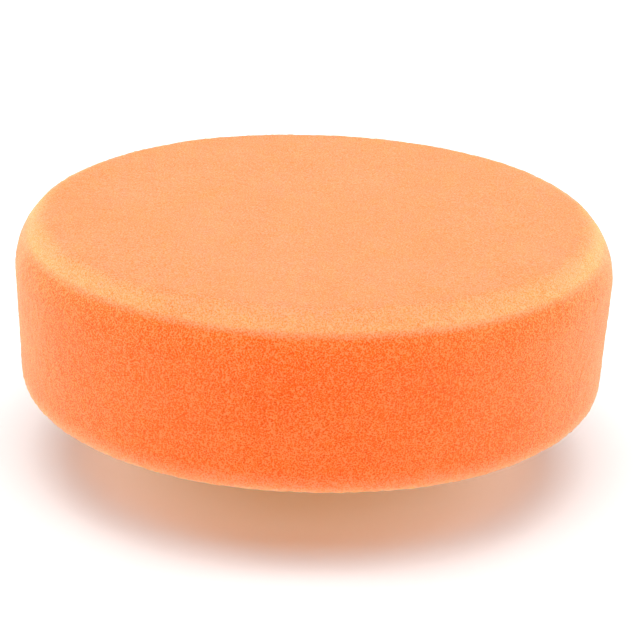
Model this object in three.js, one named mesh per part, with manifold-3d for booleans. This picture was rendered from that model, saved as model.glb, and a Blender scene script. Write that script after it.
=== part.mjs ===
// A screw-on polishing pad for a rotary polisher: a thick foam disc glued to a ribbed
// plastic backing plate, with a steel M14 nut moulded into the plate's hub.
// Millimetres, +Z up. The origin is the centre of the nut's free end face, which seats on
// the spindle's shoulder, so the pad stands on z = 0 with its polishing face up.

import * as THREE from "three";
import { mergeVertices } from "three/addons/utils/BufferGeometryUtils.js";
import Module from "manifold-3d";

// Foam disc
const PAD_RADIUS = 75;
const FOAM_HEIGHT = 44;
const FOAM_BACK_Z = 21; // underside of the foam, above the nut's end face
const WALL_TAPER = 1.2; // radius that the side wall loses from its top to its bottom
const FACE_EDGE_RADIUS = 6; // tight turn from the polishing face
const SHOULDER_RADIUS = 16; // slow turn from there into the side wall
const SHOULDER_ANGLE = Math.PI / 4; // part of the quarter turn that the shoulder takes
const BACK_EDGE_RADIUS = 3.5;

// Adhesive film between the foam and the plate
const FILM_RADIUS = 58;
const FILM_THICKNESS = 0.7;

// Backing plate
const PLATE_RADIUS = 59;
const WEB_THICKNESS = 2.6;
const RIM_LIP_WIDTH = 2;
const RIM_LIP_HEIGHT = 1.4; // below the web's underside
const HUB_END_Z = 3;
const HUB_END_RADIUS = 17;
const HUB_ROOT_RADIUS = 18.6;
const RIB_COUNT = 20;
const RIB_THICKNESS = 2;
const RIB_INNER_Z = 8; // lower edge of a rib where it meets the hub
const RIB_OUTER_DEPTH = 0.8; // depth of a rib below the web where it meets the rim lip
const RING_RIB_RADIUS = 39;
const RING_RIB_DEPTH = 4.2;
const RIB_OVERLAP = 1; // how far a rib runs into the solid that it joins

// M14 x 2 nut
const THREAD_MAJOR_RADIUS = 7;
const THREAD_PITCH = 2;
const THREAD_DEPTH = 0.5413 * THREAD_PITCH; // ISO metric internal thread
const NUT_HEIGHT = 16;
const NUT_ACROSS_FLATS = 22;
const NUT_CORNER_CHAMFER_ANGLE = Math.PI / 6;
const NUT_FACE_RADIUS = 10.6; // flat part of the end face, inside the corner chamfer
const MOUTH_RADIUS = 7.7; // countersink at the end face
const FLANGE_RADIUS = 15;
const FLANGE_THICKNESS = 3.2;

const GAP = 0.3; // between pieces that are glued or moulded together
const ROUND_SEGMENTS = 96;
const THREAD_SEGMENTS = 36;
const SHOULDER_STEPS = 5;
const FACE_EDGE_STEPS = 5;
const BACK_EDGE_STEPS = 4;
const WELD_DISTANCE = 1e-4;

const filmTopZ = FOAM_BACK_Z - GAP;
const filmBottomZ = filmTopZ - FILM_THICKNESS;
const plateTopZ = filmBottomZ - GAP;
const webZ = plateTopZ - WEB_THICKNESS;
const rimZ = webZ - RIM_LIP_HEIGHT;
const threadMinorRadius = THREAD_MAJOR_RADIUS - THREAD_DEPTH;
const nutCornerRadius = NUT_ACROSS_FLATS / 2 / Math.cos(Math.PI / 6);
const flangeZ = NUT_HEIGHT - FLANGE_THICKNESS;

const wasm = await Module();
wasm.setup();

// A closed geometry as a solid that can be joined and cut.
function toSolid(geometry) {
  const bare = geometry.clone();
  bare.deleteAttribute("normal");
  bare.deleteAttribute("uv");
  const merged = mergeVertices(bare, WELD_DISTANCE);
  return new wasm.Manifold(
    new wasm.Mesh({
      numProp: 3,
      vertProperties: merged.attributes.position.array,
      triVerts: new Uint32Array(merged.index.array),
    }),
  );
}

function toGeometry(solid) {
  const mesh = solid.getMesh();
  const geometry = new THREE.BufferGeometry();
  geometry.setAttribute("position", new THREE.BufferAttribute(mesh.vertProperties, 3));
  geometry.setIndex(new THREE.BufferAttribute(mesh.triVerts, 1));
  geometry.computeVertexNormals();
  return geometry;
}

// A solid of revolution about Z from [radius, z] points, listed from the bottom up.
function turned(profile, segments = ROUND_SEGMENTS) {
  const points = profile.map(([radius, z]) => new THREE.Vector2(radius, z));
  return new THREE.LatheGeometry(points, segments).rotateX(Math.PI / 2);
}

function disc(radius, bottomZ, topZ) {
  return turned([
    [0, bottomZ],
    [radius, bottomZ],
    [radius, topZ],
    [0, topZ],
  ]);
}

function hexPrism(cornerRadius, bottomZ, topZ) {
  return new THREE.CylinderGeometry(cornerRadius, cornerRadius, topZ - bottomZ, 6)
    .rotateX(Math.PI / 2)
    .translate(0, 0, (bottomZ + topZ) / 2);
}

// Profile points on a circular arc, with angles measured from the outward radius.
function arc(centreRadius, centreZ, radius, startAngle, endAngle, steps) {
  return Array.from({ length: steps + 1 }, (_, i) => {
    const angle = startAngle + ((endAngle - startAngle) * i) / steps;
    return [centreRadius + radius * Math.cos(angle), centreZ + radius * Math.sin(angle)];
  });
}

function foamDisc() {
  const topZ = FOAM_BACK_Z + FOAM_HEIGHT;
  const shoulderCentreRadius = PAD_RADIUS - SHOULDER_RADIUS;
  const centreStep = SHOULDER_RADIUS - FACE_EDGE_RADIUS; // from one arc's centre to the other's
  const faceEdgeCentreRadius = shoulderCentreRadius + centreStep * Math.cos(SHOULDER_ANGLE);
  const faceEdgeCentreZ = topZ - FACE_EDGE_RADIUS;
  const shoulderCentreZ = faceEdgeCentreZ - centreStep * Math.sin(SHOULDER_ANGLE);
  const backEdge = arc(
    PAD_RADIUS - WALL_TAPER - BACK_EDGE_RADIUS,
    FOAM_BACK_Z + BACK_EDGE_RADIUS,
    BACK_EDGE_RADIUS,
    -Math.PI / 2,
    0,
    BACK_EDGE_STEPS,
  );
  const shoulder = arc(
    shoulderCentreRadius,
    shoulderCentreZ,
    SHOULDER_RADIUS,
    0,
    SHOULDER_ANGLE,
    SHOULDER_STEPS,
  );
  const faceEdge = arc(
    faceEdgeCentreRadius,
    faceEdgeCentreZ,
    FACE_EDGE_RADIUS,
    SHOULDER_ANGLE,
    Math.PI / 2,
    FACE_EDGE_STEPS,
  );
  return turned([
    [0, FOAM_BACK_Z],
    ...backEdge,
    ...shoulder,
    ...faceEdge.slice(1),
    [0, topZ],
  ]);
}

function adhesiveFilm() {
  return disc(FILM_RADIUS, filmBottomZ, filmTopZ);
}

// One radial rib, which tapers from the hub to the rim lip, as an extruded side outline.
function radialRib(angle) {
  const innerRadius = HUB_END_RADIUS - RIB_OVERLAP;
  const outerRadius = PLATE_RADIUS - RIM_LIP_WIDTH / 2;
  const outline = new THREE.Shape([
    new THREE.Vector2(innerRadius, RIB_INNER_Z),
    new THREE.Vector2(outerRadius, webZ - RIB_OUTER_DEPTH),
    new THREE.Vector2(outerRadius, webZ + RIB_OVERLAP),
    new THREE.Vector2(innerRadius, webZ + RIB_OVERLAP),
  ]);
  return new THREE.ExtrudeGeometry(outline, { depth: RIB_THICKNESS, bevelEnabled: false })
    .rotateX(Math.PI / 2)
    .translate(0, RIB_THICKNESS / 2, 0)
    .rotateZ(angle);
}

function ringRib() {
  const inner = RING_RIB_RADIUS - RIB_THICKNESS / 2;
  const outer = RING_RIB_RADIUS + RIB_THICKNESS / 2;
  return turned([
    [inner, webZ - RING_RIB_DEPTH],
    [outer, webZ - RING_RIB_DEPTH],
    [outer, webZ + RIB_OVERLAP],
    [inner, webZ + RIB_OVERLAP],
    [inner, webZ - RING_RIB_DEPTH],
  ]);
}

// The hollow that the nut fills: its hexagon, open at the hub's end, and its flange.
function nutPocket() {
  const hexagon = hexPrism(
    nutCornerRadius + GAP / Math.cos(Math.PI / 6),
    HUB_END_Z - RIB_OVERLAP,
    flangeZ,
  );
  const flange = disc(FLANGE_RADIUS + GAP, flangeZ - GAP, NUT_HEIGHT + GAP);
  return toSolid(hexagon).add(toSolid(flange));
}

function backingPlate() {
  const body = turned([
    [0, HUB_END_Z],
    [HUB_END_RADIUS, HUB_END_Z],
    [HUB_ROOT_RADIUS, webZ],
    [PLATE_RADIUS - RIM_LIP_WIDTH, webZ],
    [PLATE_RADIUS - RIM_LIP_WIDTH, rimZ],
    [PLATE_RADIUS, rimZ],
    [PLATE_RADIUS, plateTopZ],
    [0, plateTopZ],
  ]);
  let solid = toSolid(body).add(toSolid(ringRib()));
  for (let i = 0; i < RIB_COUNT; i++) {
    solid = solid.add(toSolid(radialRib((2 * Math.PI * i) / RIB_COUNT)));
  }
  return toGeometry(solid.subtract(nutPocket()));
}

// A right-hand screw that cuts the thread. Its surface is one helical strip: each row
// follows an edge of the thread's profile, and a full turn leads to the next turn's row.
function threadCutter(bottomZ, topZ) {
  const flank = THREAD_DEPTH * Math.tan(Math.PI / 6);
  const crest = THREAD_PITCH / 4;
  const root = THREAD_PITCH / 8;
  const profile = [
    [0, threadMinorRadius],
    [crest, threadMinorRadius],
    [crest + flank, THREAD_MAJOR_RADIUS],
    [crest + flank + root, THREAD_MAJOR_RADIUS],
  ];
  const perTurn = profile.length;
  const rows = Math.ceil((topZ - bottomZ) / THREAD_PITCH) * perTurn;
  const positions = [];

  function point(row, step) {
    const [rise, radius] = profile[row % perTurn];
    const turn = step / THREAD_SEGMENTS + Math.floor(row / perTurn);
    const angle = (2 * Math.PI * (step % THREAD_SEGMENTS)) / THREAD_SEGMENTS;
    return [
      radius * Math.cos(angle),
      radius * Math.sin(angle),
      bottomZ + turn * THREAD_PITCH + rise,
    ];
  }
  function triangle(...corners) {
    corners.forEach((corner) => positions.push(...corner));
  }
  // Each end is a fan from the axis to a helix turn and to the step where the turn closes.
  function cap(loop, apex, facesUp) {
    for (let i = 0; i < loop.length - 1; i++) {
      if (facesUp) triangle(apex, loop[i], loop[i + 1]);
      else triangle(apex, loop[i + 1], loop[i]);
    }
  }

  for (let row = 0; row < rows; row++) {
    for (let step = 0; step < THREAD_SEGMENTS; step++) {
      triangle(point(row, step), point(row, step + 1), point(row + 1, step + 1));
      triangle(point(row, step), point(row + 1, step + 1), point(row + 1, step));
    }
  }
  const steps = Array.from({ length: THREAD_SEGMENTS + 1 }, (_, step) => step);
  const closing = Array.from({ length: perTurn }, (_, i) => perTurn - 1 - i);
  const bottomLoop = steps.map((step) => point(0, step));
  bottomLoop.push(...closing.map((row) => point(row, 0)));
  const topLoop = steps.map((step) => point(rows, step));
  topLoop.push(...closing.map((row) => point(rows - perTurn + row, THREAD_SEGMENTS)));
  cap(bottomLoop, [0, 0, bottomZ], false);
  cap(topLoop, [0, 0, topLoop[THREAD_SEGMENTS][2]], true);

  const geometry = new THREE.BufferGeometry();
  geometry.setAttribute("position", new THREE.Float32BufferAttribute(positions, 3));
  return geometry;
}

function spindleNut() {
  const faceToCorner = nutCornerRadius - NUT_FACE_RADIUS;
  const chamferHeight = faceToCorner * Math.tan(NUT_CORNER_CHAMFER_ANGLE);
  const cornerChamfer = turned([
    [0, 0],
    [NUT_FACE_RADIUS, 0],
    [nutCornerRadius, chamferHeight],
    [nutCornerRadius, NUT_HEIGHT],
    [0, NUT_HEIGHT],
  ]);
  const hexagon = toSolid(hexPrism(nutCornerRadius, -GAP, NUT_HEIGHT));
  const flange = toSolid(disc(FLANGE_RADIUS, flangeZ, NUT_HEIGHT));
  const countersink = turned([
    [0, -MOUTH_RADIUS],
    [2 * MOUTH_RADIUS, -MOUTH_RADIUS],
    [0, MOUTH_RADIUS],
  ]);
  const screw = threadCutter(-2 * THREAD_PITCH, NUT_HEIGHT + 2 * THREAD_PITCH);
  return toGeometry(
    hexagon
      .intersect(toSolid(cornerChamfer))
      .add(flange)
      .subtract(toSolid(screw))
      .subtract(toSolid(countersink)),
  );
}

function part(name, geometry, color, roughness, metalness = 0) {
  const material = new THREE.MeshStandardMaterial({ color, roughness, metalness });
  const mesh = new THREE.Mesh(geometry, material);
  mesh.name = name;
  return mesh;
}

const pad = new THREE.Group();
pad.add(
  part("foam_disc", foamDisc(), 0xfd7636, 0.95),
  part("adhesive_film", adhesiveFilm(), 0xe6cf9c, 0.55),
  part("backing_plate", backingPlate(), 0xe9e6df, 0.5),
  part("spindle_nut", spindleNut(), 0xb9bcc0, 0.35, 1),
);

export default pad;
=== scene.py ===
"""Looks for a screw-on polishing pad: an orange foam disc on a ribbed plate with an M14 nut.

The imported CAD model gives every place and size. Each CAD node is replaced by a finer mesh of
the same size: foam with a cut, porous surface, a seam of squeezed-out glue, a moulded plate
with softened edges, and a turned steel nut. The pad stands on a white table under a wide,
soft overhead light.
"""

import math
import random

import bmesh
import bpy
import numpy as np
from mathutils import Matrix, Vector, noise


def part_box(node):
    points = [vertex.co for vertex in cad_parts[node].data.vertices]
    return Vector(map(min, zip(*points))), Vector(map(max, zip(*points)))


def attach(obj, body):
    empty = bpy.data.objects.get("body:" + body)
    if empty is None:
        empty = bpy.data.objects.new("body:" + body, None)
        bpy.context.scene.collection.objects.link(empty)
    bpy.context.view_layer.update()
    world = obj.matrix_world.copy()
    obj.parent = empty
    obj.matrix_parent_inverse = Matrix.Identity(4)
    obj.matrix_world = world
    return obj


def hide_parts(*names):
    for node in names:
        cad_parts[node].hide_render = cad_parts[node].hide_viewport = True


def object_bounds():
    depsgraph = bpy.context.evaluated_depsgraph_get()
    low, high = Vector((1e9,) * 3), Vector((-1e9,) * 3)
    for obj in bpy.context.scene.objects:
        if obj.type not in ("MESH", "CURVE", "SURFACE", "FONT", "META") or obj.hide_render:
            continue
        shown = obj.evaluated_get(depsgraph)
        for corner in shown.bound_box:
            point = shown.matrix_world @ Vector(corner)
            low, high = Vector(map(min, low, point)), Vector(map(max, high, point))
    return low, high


MM = 0.001

# Sections
ARC_STEPS = 24

# Foam disc: the section of its edges
FACE_EDGE_RADIUS = 6 * MM
SHOULDER_RADIUS = 16 * MM
SHOULDER_ANGLE = math.radians(45)
BACK_EDGE_RADIUS = 3.5 * MM
WALL_TAPER = 1.2 * MM

# Foam disc: its surface
FOAM_RINGS_SEED, FOAM_TORN_SEED = 7, 11
FOAM_SPACING = 0.74 * MM
HIDDEN_SPACING = 4 * MM
HIDDEN_BACK_RADIUS = 55 * MM  # behind the plate
WAVE_SIZE, WAVE_HEIGHT = 45 * MM, 0.30 * MM
LUMP_SIZE, LUMP_HEIGHT = 7 * MM, 0.10 * MM
PORE_SIZE, PORE_HEIGHT = 1.7 * MM, 0.10 * MM
TORN_HEIGHT = 0.07 * MM
TORN_EDGE_HEIGHT, TORN_EDGE_ZONE = 0.12 * MM, 1.5 * MM  # the cut at the back is the roughest

# Foam disc: three tints of one foam. The wall is the deepest, the face is paler, and the edges
# are the palest. Only the wall's tint is the foam's own colour. The paler face and edge tints are
# painted highlight for the strong light on top and the pale crease it makes at the face's edge.
# Each pair gives where a blend from one tint to the next starts and ends.
FACE_HIGHLIGHT_DEPTHS = (3.5 * MM, 6.2 * MM)  # below the face: down from the face's tint to the wall's
EDGE_HIGHLIGHT_REACHES = (66 * MM, 72.5 * MM)  # from the axis: out from the face's tint to the edge's
# The back edge takes a share of the edge's pale tint: painted highlight for light thrown up by the
# table
BACK_HIGHLIGHT_HEIGHTS = (0.6 * MM, 6.6 * MM)  # above the back: up from the edge's tint to the wall's
BACK_HIGHLIGHT_SHARE = 0.85  # of the edge's tint at the back edge
SHADE_STOPS = (0.52, 0.72, 0.92)  # pores, middle and struts
WALL_TINTS = ((0.82, 0.058, 0.000), (0.94, 0.133, 0.000), (0.98, 0.270, 0.076))
# Painted highlight: the face and edge tints are paler than the wall's for the light on them
FACE_HIGHLIGHT_TINTS = ((0.90, 0.120, 0.008), (0.95, 0.174, 0.046), (0.98, 0.230, 0.124))
EDGE_HIGHLIGHT_TINTS = ((0.92, 0.205, 0.028), (0.96, 0.298, 0.097), (0.98, 0.390, 0.195))

# Foam disc: its grain, as features per millimetre and as shares of the shade
CELLS_PER_MM, CELLS_SHARE = 2.3, 0.45
GRAIN_PER_MM = 3.4
CLOUDS_PER_MM, CLOUDS_SHARE = 0.06, 0.12
WALL_SHEEN, FACE_SHEEN = 0.55, 0.1

# Glue: a film under the foam, and the bead that it was squeezed into round the plate's rim
GLUE_RINGS_SEED = 17
SEAM_INSET = 2 * MM  # from the plate's rim in to where the bead's section ends
BEAD_RADIUS = 0.75 * MM
BEAD_SPACING = 0.5 * MM
BEAD_LUMP_SIZE, BEAD_LUMP_HEIGHT = 5 * MM, 0.5 * MM
BEAD_DRIP_SIZE, BEAD_DRIP_HEIGHT = 1.6 * MM, 0.15 * MM

# Softened edges of the hard pieces
WELD_DISTANCE = 0.001 * MM
FLAT_ANGLE = math.radians(1)  # faces that turn by less are one face
SHARP_ANGLE = math.radians(35)
EDGE_SEGMENTS = 2
PLATE_EDGE = 0.35 * MM
NUT_EDGE = 0.2 * MM
THREAD_ZONE_RADIUS = 8 * MM  # thread edges inside it stay sharp

# Camera, in metres, millimetres of lens and shares of the picture's width
CAMERA_DISTANCE = 0.546
CAMERA_ELEVATION = math.radians(20.65)
CAMERA_ROLL = math.radians(1.8)
CAMERA_LENS = 120.6
CAMERA_SHIFT_X = 0.0122
CAMERA_SHIFT_Y = 0.017

# Table and light, in metres
TABLE_HALF = 1.4
SOFTBOX_WIDTH, SOFTBOX_DEPTH = 1.3, 1.4
SOFTBOX_PLACE = (0, -0.12, 1.0)
SOFTBOX_WATTS = 19
FILL_SIZE = 0.5
FILL_SIDE, FILL_BACK, FILL_HEIGHT = 1.0, 0.1, 0.6
FILL_WATTS = 3.6
SKY_STRENGTH = 0.34
HORIZON_STRENGTH = 0.75
HORIZON_END, SKY_START = 0.05, 0.2  # as the upward part of a direction
GLOW_RADIUS = 60 * MM
GLOW_HEIGHT = 7 * MM
GLOW_WATTS = 0.0142
GLOW_COLOR = (1.0, 0.32, 0.03)

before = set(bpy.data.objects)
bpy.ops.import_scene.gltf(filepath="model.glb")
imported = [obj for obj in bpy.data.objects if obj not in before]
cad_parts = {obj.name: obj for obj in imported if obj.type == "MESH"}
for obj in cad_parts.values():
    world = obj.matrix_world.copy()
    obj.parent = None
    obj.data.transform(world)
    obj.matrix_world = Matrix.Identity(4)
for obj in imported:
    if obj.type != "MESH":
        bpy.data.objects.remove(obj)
cad_low, cad_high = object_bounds()
foam_low, foam_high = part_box("foam_disc")
film_low, film_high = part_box("adhesive_film")
plate_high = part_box("backing_plate")[1]


# ---------------------------------------------------------------------- meshes


def new_object(name, vertices, faces):
    mesh = bpy.data.meshes.new(name)
    mesh.from_pydata(vertices, [], faces)
    mesh.update()
    piece = bpy.data.objects.new(name, mesh)
    bpy.context.scene.collection.objects.link(piece)
    return piece


def arc(centre_radius, centre_z, radius, start, end):
    """Section points (radius, z) on an arc, with angles measured from the outward radius."""
    angles = np.linspace(start, end, ARC_STEPS + 1)
    return [(centre_radius + radius * math.cos(a), centre_z + radius * math.sin(a)) for a in angles]


def evenly_spaced(section, spacing):
    """The section's line again, with points at equal steps along it."""
    points = np.array(section)
    steps = np.hypot(*np.diff(points, axis=0).T)
    along = np.concatenate([[0], np.cumsum(steps)])
    wanted = np.linspace(0, along[-1], round(along[-1] / spacing) + 1)
    return list(zip(np.interp(wanted, along, points[:, 0]), np.interp(wanted, along, points[:, 1])))


def stitched(lower, upper):
    """Triangles between two rings with different counts of (turn, vertex) points."""
    lower = lower + [(lower[0][0] + 1, lower[0][1])]
    upper = upper + [(upper[0][0] + 1, upper[0][1])]
    triangles = []
    i = j = 0
    while i < len(lower) - 1 or j < len(upper) - 1:
        upper_done = j == len(upper) - 1
        lower_done = i == len(lower) - 1
        if upper_done or (not lower_done and lower[i + 1][0] <= upper[j + 1][0]):
            triangles.append((lower[i][1], lower[i + 1][1], upper[j][1]))
            i += 1
        else:
            triangles.append((lower[i][1], upper[j + 1][1], upper[j][1]))
            j += 1
    return [corners for corners in triangles if len(set(corners)) == 3]


def turned(rings, seed):
    """A closed surface of revolution from (radius, z, spacing) rings, listed from the bottom up.

    Each ring has as many vertices as its spacing asks for, so the triangles are about equal.
    """
    draw = random.Random(seed)
    vertices, faces = [], []
    below = None
    for radius, z, spacing in rings:
        if radius < spacing / 2:
            ring = [(0.0, len(vertices))]
            vertices.append((0.0, 0.0, z))
        else:
            count = max(8, round(2 * math.pi * radius / spacing))
            offset = draw.random() / count
            turns = [offset + k / count for k in range(count)]
            ring = [(turn, len(vertices) + k) for k, turn in enumerate(turns)]
            vertices += [
                (radius * math.cos(2 * math.pi * turn), radius * math.sin(2 * math.pi * turn), z)
                for turn in turns
            ]
        if below is not None:
            faces += stitched(below, ring)
        below = ring
    return vertices, faces


def roughen(mesh, height_at):
    """Moves each vertex along its normal by the height that the function gives for its place."""
    places = np.empty(3 * len(mesh.vertices))
    normals = np.empty(3 * len(mesh.vertices))
    mesh.vertices.foreach_get("co", places)
    mesh.vertex_normals.foreach_get("vector", normals)
    heights = np.array([height_at(Vector(place)) for place in places.reshape(-1, 3)])
    places += normals * np.repeat(heights, 3)
    mesh.vertices.foreach_set("co", places)
    mesh.update()


def softened_copy(name, node, width, wanted=lambda edge: True):
    """The CAD node's mesh with its flat faces merged and its wanted sharp edges rounded."""
    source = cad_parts[node]
    mesh = bmesh.new()
    mesh.from_mesh(source.data)
    mesh.transform(source.matrix_world)
    bmesh.ops.remove_doubles(mesh, verts=mesh.verts, dist=WELD_DISTANCE)
    bmesh.ops.dissolve_limit(mesh, angle_limit=FLAT_ANGLE, verts=mesh.verts, edges=mesh.edges)
    sharp = [
        edge
        for edge in mesh.edges
        if edge.is_manifold and edge.calc_face_angle() > SHARP_ANGLE and wanted(edge)
    ]
    bmesh.ops.bevel(
        mesh,
        geom=sharp,
        offset=width,
        segments=EDGE_SEGMENTS,
        profile=0.5,
        affect="EDGES",
        clamp_overlap=True,
    )
    piece = new_object(name, [], [])
    mesh.to_mesh(piece.data)
    mesh.free()
    piece.data.shade_smooth()
    piece.data.set_sharp_from_angle(angle=SHARP_ANGLE)
    return piece


def take_place(piece, node, material):
    """Puts the finished piece in the place of its CAD node, on the pad's one body."""
    piece.data.materials.clear()
    piece.data.materials.append(material)
    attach(piece, "root")
    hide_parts(node)


# ---------------------------------------------------------------------- pieces


def foam_section():
    """The foam's section from behind the plate, round the wall, to the middle of its face."""
    radius, bottom, top = foam_high.x, foam_low.z, foam_high.z
    centre_step = SHOULDER_RADIUS - FACE_EDGE_RADIUS
    shoulder_centre = radius - SHOULDER_RADIUS
    face_edge_centre = shoulder_centre + centre_step * math.cos(SHOULDER_ANGLE)
    face_edge_z = top - FACE_EDGE_RADIUS
    shoulder_z = face_edge_z - centre_step * math.sin(SHOULDER_ANGLE)
    back_centre = radius - WALL_TAPER - BACK_EDGE_RADIUS
    quarter = math.pi / 2
    return [
        (HIDDEN_BACK_RADIUS, bottom),
        *arc(back_centre, bottom + BACK_EDGE_RADIUS, BACK_EDGE_RADIUS, -quarter, 0),
        *arc(shoulder_centre, shoulder_z, SHOULDER_RADIUS, 0, SHOULDER_ANGLE),
        *arc(face_edge_centre, face_edge_z, FACE_EDGE_RADIUS, SHOULDER_ANGLE, quarter)[1:],
        (0, top),
    ]


def make_foam():
    """The foam disc: fine triangles where it shows, coarse flat ones behind the plate."""
    hidden = np.arange(0, HIDDEN_BACK_RADIUS - FOAM_SPACING, HIDDEN_SPACING)
    rings = [(radius, foam_low.z, HIDDEN_SPACING) for radius in hidden]
    rings += [(r, z, FOAM_SPACING) for r, z in evenly_spaced(foam_section(), FOAM_SPACING)]
    foam = new_object("foam_pad", *turned(rings, FOAM_RINGS_SEED))
    draw = random.Random(FOAM_TORN_SEED)

    def height_at(place):
        if place.z < foam_low.z + MM and place.xy.length < HIDDEN_BACK_RADIUS:
            return 0.0
        at_back_edge = place.z < foam_low.z + TORN_EDGE_ZONE
        torn_height = TORN_EDGE_HEIGHT if at_back_edge else TORN_HEIGHT
        return (
            WAVE_HEIGHT * noise.noise(place / WAVE_SIZE)
            + LUMP_HEIGHT * noise.noise(place / LUMP_SIZE)
            + PORE_HEIGHT * noise.noise(place / PORE_SIZE)
            + torn_height * draw.uniform(-1, 1)
        )

    roughen(foam.data, height_at)
    foam.data.shade_smooth()
    take_place(foam, "foam_disc", foam_material())


def make_glue():
    """The glue film, with a lumpy bead round the plate's rim."""
    bead_centre = plate_high.x + BEAD_RADIUS
    seam_start = plate_high.x - SEAM_INSET
    middle = (film_low.z + film_high.z) / 2
    quarter = math.pi / 2
    section = [
        (seam_start, film_low.z),
        *arc(bead_centre, middle, BEAD_RADIUS, -quarter, quarter),
        (seam_start, film_high.z),
    ]
    inside = np.arange(0, seam_start - MM, HIDDEN_SPACING)
    rings = [(r, film_low.z, HIDDEN_SPACING) for r in inside]
    rings += [(r, z, BEAD_SPACING) for r, z in evenly_spaced(section, BEAD_SPACING / 2)]
    rings += [(r, film_high.z, HIDDEN_SPACING) for r in inside[::-1]]
    glue = new_object("glue_seam", *turned(rings, GLUE_RINGS_SEED))

    def height_at(place):
        if place.xy.length < plate_high.x:
            return 0.0
        lump = BEAD_LUMP_HEIGHT * noise.noise(place / BEAD_LUMP_SIZE)
        drip = BEAD_DRIP_HEIGHT * noise.noise(place / BEAD_DRIP_SIZE)
        return lump + drip

    roughen(glue.data, height_at)
    glue.data.shade_smooth()
    take_place(glue, "adhesive_film", glue_material())


def make_plate():
    plate = softened_copy("moulded_plate", "backing_plate", PLATE_EDGE)
    take_place(plate, "backing_plate", plastic_material())


def make_nut():
    def outside_thread(edge):
        return all(vertex.co.xy.length > THREAD_ZONE_RADIUS for vertex in edge.verts)

    nut = softened_copy("m14_nut", "spindle_nut", NUT_EDGE, outside_thread)
    take_place(nut, "spindle_nut", steel_material())


# ------------------------------------------------------------------- materials


def new_material(name):
    material = bpy.data.materials.new(name)
    material.use_nodes = True
    return material, material.node_tree, material.node_tree.nodes["Principled BSDF"]


def set_inputs(tree, node, inputs):
    """Sets the node's inputs, by name or number, from plain values or from sockets to link."""
    for key, value in inputs.items():
        if isinstance(value, bpy.types.NodeSocket):
            tree.links.new(value, node.inputs[key])
        else:
            node.inputs[key].default_value = value


def add_node(tree, kind, inputs, **settings):
    node = tree.nodes.new("ShaderNode" + kind)
    for key, value in settings.items():
        setattr(node, key, value)
    set_inputs(tree, node, inputs)
    return node


def in_millimetres(tree):
    """Object coordinates in millimetres, so that texture scales are features per millimetre."""
    place = add_node(tree, "TexCoord", {}).outputs["Object"]
    scaled = add_node(tree, "VectorMath", {0: place, 1: (1 / MM,) * 3}, operation="MULTIPLY")
    return scaled.outputs["Vector"]


def stretched(tree, place, stretch):
    return add_node(tree, "VectorMath", {0: place, 1: stretch}, operation="MULTIPLY").outputs[0]


def reach_from_axis(tree, place):
    flat = stretched(tree, place, (1, 1, 0))
    return add_node(tree, "VectorMath", {0: flat}, operation="LENGTH").outputs["Value"]


def height_above_table(tree, place):
    return add_node(tree, "SeparateXYZ", {0: place}).outputs["Z"]


def combined(tree, operation, first, second):
    return add_node(tree, "Math", {0: first, 1: second}, operation=operation).outputs[0]


def blobs(tree, place, scale, detail=2.0, roughness=0.5):
    inputs = {"Vector": place, "Scale": scale, "Detail": detail, "Roughness": roughness}
    return add_node(tree, "TexNoise", inputs).outputs["Fac"]


def scaled_sum(tree, value, factor, addend):
    inputs = {0: value, 1: factor, 2: addend}
    return add_node(tree, "Math", inputs, operation="MULTIPLY_ADD").outputs[0]


def ranged(tree, value, low, high, to_low, to_high):
    """A smooth step from to_low at the low value to to_high at the high one."""
    inputs = {
        "Value": value,
        "From Min": low,
        "From Max": high,
        "To Min": to_low,
        "To Max": to_high,
    }
    return add_node(tree, "MapRange", inputs, interpolation_type="SMOOTHSTEP").outputs["Result"]


def ramp(tree, value, stops):
    """Colours by value, from (position, (r, g, b)) stops."""
    node = add_node(tree, "ValToRGB", {"Fac": value})
    elements = node.color_ramp.elements
    while len(elements) < len(stops):
        elements.new(0.5)
    for element, (position, color) in zip(elements, stops):
        element.position = position
        element.color = (*color, 1)
    return node.outputs["Color"]


def mixed(tree, factor, first, second):
    """Two colours mixed. The colour sockets share names with others, so they go by number."""
    node = add_node(tree, "Mix", {}, data_type="RGBA")
    set_inputs(tree, node, {0: factor, 6: first, 7: second})
    return node.outputs[2]


def bumped(tree, height, distance, strength):
    inputs = {"Height": height, "Distance": distance, "Strength": strength}
    return add_node(tree, "Bump", inputs).outputs["Normal"]


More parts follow.
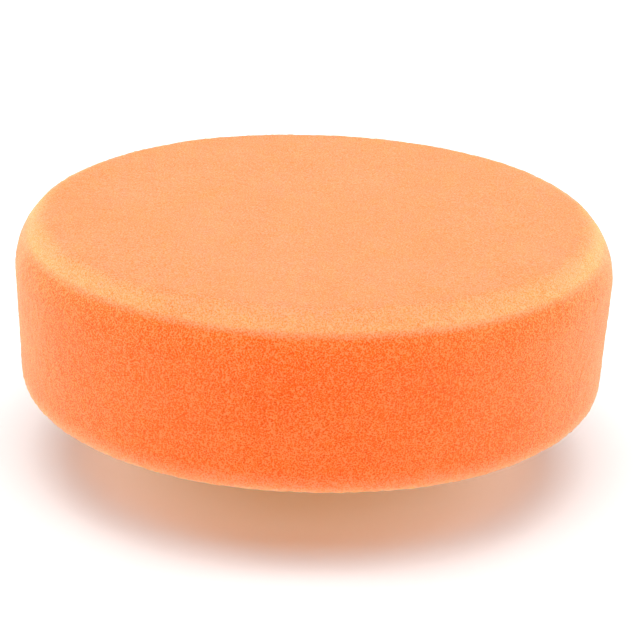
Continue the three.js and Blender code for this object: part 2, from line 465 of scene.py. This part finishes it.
def foam_material():
    """Open-cell foam: dark pores between light struts, in a tint for the wall, face and edges.

    The wall is deep orange under a dusty sheen. The face is paler, with little sheen, and both
    edges are the palest. These paler tints are painted highlight for the strong light on top,
    the pale crease it makes at the face's edge, and the light thrown up by the table at the back
    edge.
    """
    material, tree, shader = new_material("orange_foam")
    place = in_millimetres(tree)
    voronoi = {"Vector": place, "Scale": CELLS_PER_MM}
    cells = add_node(tree, "TexVoronoi", voronoi).outputs["Distance"]
    grain = scaled_sum(tree, cells, CELLS_SHARE, blobs(tree, place, GRAIN_PER_MM, 2.0, 0.6))
    shade = scaled_sum(tree, blobs(tree, place, CLOUDS_PER_MM), CLOUDS_SHARE, grain)
    wall, face, edge = [
        ramp(tree, shade, list(zip(SHADE_STOPS, tints)))
        for tints in (WALL_TINTS, FACE_HIGHLIGHT_TINTS, EDGE_HIGHLIGHT_TINTS)
    ]

    # Masks for the painted highlight: where the paler face, edge and back-edge tints replace the
    # wall's own orange
    height = height_above_table(tree, place)
    face_start, wall_top = [(foam_high.z - depth) / MM for depth in FACE_HIGHLIGHT_DEPTHS]
    above_wall = ranged(tree, height, wall_top, face_start, 0, 1)
    inner, outer = [reach / MM for reach in EDGE_HIGHLIGHT_REACHES]
    out_from_face = ranged(tree, reach_from_axis(tree, place), inner, outer, 0, 1)
    face_edge_highlight = combined(tree, "MINIMUM", above_wall, out_from_face)
    back, wall_bottom = [(foam_low.z + rise) / MM for rise in BACK_HIGHLIGHT_HEIGHTS]
    at_back_edge = ranged(tree, height, back, wall_bottom, BACK_HIGHLIGHT_SHARE, 0)
    painted_edge_highlight = combined(tree, "MAXIMUM", face_edge_highlight, at_back_edge)

    set_inputs(
        tree,
        shader,
        {
            # The wall's own orange, with painted highlight tints on the face and edges
            "Base Color": mixed(tree, painted_edge_highlight, mixed(tree, above_wall, wall, face), edge),
            "Normal": bumped(tree, grain, 0.25 * MM, 0.5),
            "Roughness": 0.95,
            "Specular IOR Level": 0.2,
            "Subsurface Weight": 1.0,
            "Subsurface Radius": (12, 1.6, 0.5),
            "Subsurface Scale": MM,
            "Sheen Weight": ranged(tree, above_wall, 0, 1, WALL_SHEEN, FACE_SHEEN),
            "Sheen Roughness": 0.45,
            "Sheen Tint": (1.0, 0.76, 0.60, 1),
        },
    )
    return material


def glue_material():
    """Amber contact glue: glossy where it flowed, dull and pale where it skinned over."""
    material, tree, shader = new_material("amber_glue")
    place = in_millimetres(tree)
    flow = blobs(tree, place, 0.25, 3.0)
    set_inputs(
        tree,
        shader,
        {
            "Base Color": ramp(
                tree,
                flow,
                [
                    (0.35, (0.42, 0.21, 0.045)),
                    (0.55, (0.58, 0.35, 0.11)),
                    (0.75, (0.70, 0.52, 0.24)),
                ],
            ),
            "Roughness": ranged(tree, flow, 0.35, 0.75, 0.25, 0.6),
            "Normal": bumped(tree, blobs(tree, place, 1.2, 3.0), 0.2 * MM, 0.6),
            "Subsurface Weight": 0.4,
            "Subsurface Radius": (2, 1, 0.3),
            "Subsurface Scale": MM,
        },
    )
    return material


def plastic_material():
    """Off-white moulded plastic: a fine spark-eroded skin, flow marks, scuffs and handling dirt."""
    material, tree, shader = new_material("off_white_plastic")
    place = in_millimetres(tree)
    flow = blobs(tree, place, 0.05, 3.0)
    skin = blobs(tree, place, 5.0, 2.0)
    scuffs = blobs(tree, stretched(tree, place, (0.2, 3.0, 1.0)), 0.6, 4.0, 0.65)
    grime = blobs(tree, place, 0.16, 5.0, 0.65)
    clean = ramp(
        tree,
        flow,
        [
            (0.3, (0.72, 0.70, 0.64)),
            (0.5, (0.79, 0.77, 0.72)),
            (0.7, (0.83, 0.81, 0.77)),
        ],
    )
    dirty = ranged(tree, grime, 0.56, 0.76, 0.0, 0.45)
    set_inputs(
        tree,
        shader,
        {
            "Base Color": mixed(tree, dirty, clean, (0.46, 0.40, 0.32, 1)),
            "Roughness": ranged(tree, scuffs, 0.35, 0.7, 0.36, 0.62),
            "Normal": bumped(tree, scaled_sum(tree, scuffs, 0.5, skin), 0.04 * MM, 0.6),
            "Subsurface Weight": 0.15,
            "Subsurface Radius": (1.5, 1.2, 0.9),
            "Subsurface Scale": MM,
        },
    )
    return material


def steel_material():
    """Zinc-plated steel: turning marks round the axis, pits, and a faint yellow passivation."""
    material, tree, shader = new_material("zinc_plated_steel")
    place = in_millimetres(tree)
    around = {"X": reach_from_axis(tree, place), "Y": height_above_table(tree, place)}
    ringed = add_node(tree, "CombineXYZ", around).outputs[0]
    marks = blobs(tree, stretched(tree, ringed, (6.0, 6.0, 1.0)), 1.0, 3.0, 0.7)
    patina = blobs(tree, place, 0.25, 4.0, 0.6)
    pits = blobs(tree, place, 3.0, 3.0)
    set_inputs(
        tree,
        shader,
        {
            "Base Color": ramp(
                tree,
                patina,
                [
                    (0.35, (0.50, 0.50, 0.49)),
                    (0.55, (0.62, 0.61, 0.58)),
                    (0.75, (0.66, 0.60, 0.46)),
                ],
            ),
            "Metallic": 1.0,
            "Roughness": scaled_sum(tree, marks, 0.35, 0.18),
            "Normal": bumped(tree, scaled_sum(tree, pits, 0.4, marks), 0.03 * MM, 0.7),
        },
    )
    return material


def table_material():
    material, tree, shader = new_material("white_table")
    set_inputs(
        tree,
        shader,
        {
            "Base Color": (0.8, 0.8, 0.8, 1),
            "Roughness": 0.9,
            "Specular IOR Level": 0.0,
        },
    )
    return material


# ------------------------------------------------------------ table and lights


def make_table():
    far = TABLE_HALF
    corners = [(-far, -far, 0), (far, -far, 0), (far, far, 0), (-far, far, 0)]
    table = new_object("table", corners, [(0, 1, 2, 3)])
    table.data.materials.append(table_material())


def make_sky():
    """White light from all round, brighter at the horizon so that low views end in pale grey."""
    world = bpy.data.worlds.new("studio")
    world.use_nodes = True
    tree = world.node_tree
    direction = add_node(tree, "TexCoord", {}).outputs["Generated"]
    up = add_node(tree, "SeparateXYZ", {0: direction}).outputs["Z"]
    strength = ranged(tree, up, HORIZON_END, SKY_START, HORIZON_STRENGTH, SKY_STRENGTH)
    set_inputs(tree, tree.nodes["Background"], {"Color": (1, 1, 1, 1), "Strength": strength})
    bpy.context.scene.world = world


def make_lamp(name, shape, width, depth, watts, place, color=(1, 1, 1)):
    """An area light that points at the origin."""
    lamp = bpy.data.lights.new(name, "AREA")
    lamp.shape = shape
    lamp.size = width
    lamp.size_y = depth
    lamp.energy = watts
    lamp.color = color
    placed = bpy.data.objects.new(name, lamp)
    placed.location = place
    placed.rotation_mode = "QUATERNION"
    placed.rotation_quaternion = (-Vector(place)).to_track_quat("-Z", "Y")
    bpy.context.scene.collection.objects.link(placed)


def make_lights():
    make_sky()
    make_lamp("softbox", "RECTANGLE", SOFTBOX_WIDTH, SOFTBOX_DEPTH, SOFTBOX_WATTS, SOFTBOX_PLACE)
    for name, side in (("fill_left", -1), ("fill_right", 1)):
        place = (side * FILL_SIDE, FILL_BACK, FILL_HEIGHT)
        make_lamp(name, "RECTANGLE", FILL_SIZE, FILL_SIZE, FILL_WATTS, place)
    # A stand-in for the light that soaks through the foam and tints the shadow under the pad
    across = 2 * GLOW_RADIUS
    make_lamp("foam_glow", "DISK", across, across, GLOW_WATTS, (0, 0, GLOW_HEIGHT), GLOW_COLOR)


def make_camera():
    """A camera in front of the pad and above it, turned a little about its own axis."""
    camera = bpy.data.objects.new("camera", bpy.data.cameras.new("camera"))
    bpy.context.scene.collection.objects.link(camera)
    camera.data.lens = CAMERA_LENS
    camera.data.shift_x = CAMERA_SHIFT_X
    camera.data.shift_y = CAMERA_SHIFT_Y
    back = Vector((0, -math.cos(CAMERA_ELEVATION), math.sin(CAMERA_ELEVATION)))
    place = (foam_low + foam_high) / 2 + back * CAMERA_DISTANCE
    aim = (cad_low + cad_high) / 2
    look = (aim - place).to_track_quat("-Z", "Y").to_matrix().to_4x4()
    camera.matrix_world = Matrix.Translation(place) @ look @ Matrix.Rotation(CAMERA_ROLL, 4, "Z")
    bpy.context.scene.camera = camera
    bpy.context.scene.view_settings.view_transform = "Standard"


make_foam()
make_glue()
make_plate()
make_nut()
make_table()
make_lights()
make_camera()
